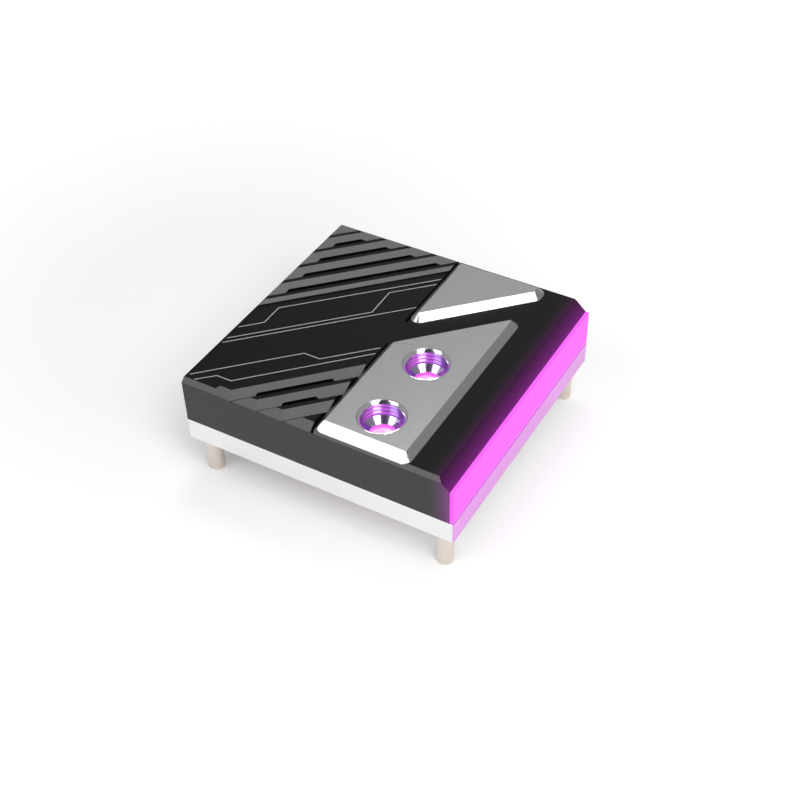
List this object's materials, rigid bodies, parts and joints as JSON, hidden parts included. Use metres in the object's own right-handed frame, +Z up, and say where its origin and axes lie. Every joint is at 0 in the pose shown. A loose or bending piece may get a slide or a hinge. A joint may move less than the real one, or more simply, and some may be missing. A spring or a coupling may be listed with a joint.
{
  "type": "liquid cooling cold plate",
  "caption": "Square processor cooling block with louvred black cover, two threaded ports in a raised plate, a lit edge strip and round mounting standoffs.",
  "frame": {"origin": "centre of the block's footprint, in the plane the four standoffs stand on", "axes": "+X towards the side with the lit strip, +Y towards the rear, +Z up towards the ports"},
  "size_m": [0.0876, 0.0866, 0.0372],
  "materials": {
    "frame_metal": "satin silver",
    "standoff_metal": "turned, warm nickel",
    "copper": "polished copper",
    "seal_rubber": "matt",
    "steel": "satin",
    "acrylic": "clear, polished",
    "port_metal": "polished nickel",
    "cover_black": "black anodised, fine matt",
    "plate_silver": "bead-blasted silver",
    "diffuser": "frosted, lit from behind",
    "board": "white solder mask",
    "lamp": "lamp body",
    "socket_black": "moulded",
    "screw_black": "black oxide"
  },
  "bodies": {
    "root": {"mounting_frame": "frame_metal", "standoff_front_left": "standoff_metal", "standoff_front_right": "standoff_metal", "standoff_rear_left": "standoff_metal", "standoff_rear_right": "standoff_metal", "cold_plate": "copper", "cold_plate_seal": "seal_rubber", "jet_plate": "steel", "jet_gasket": "seal_rubber", "flow_body": "acrylic", "flow_plug": "port_metal", "inlet_port": "port_metal", "outlet_port": "port_metal", "inlet_port_seal": "seal_rubber", "outlet_port_seal": "seal_rubber", "top_cover": "cover_black", "port_plate": "plate_silver", "accent_plate": "plate_silver", "light_strip": "diffuser", "led_board": "board", "led_chips": "lamp", "led_socket": "socket_black", "cover_screws": "screw_black", "cold_plate_screws": "screw_black", "port_plate_screws": "screw_black", "accent_plate_screws": "screw_black"}
  },
  "joints": []
}
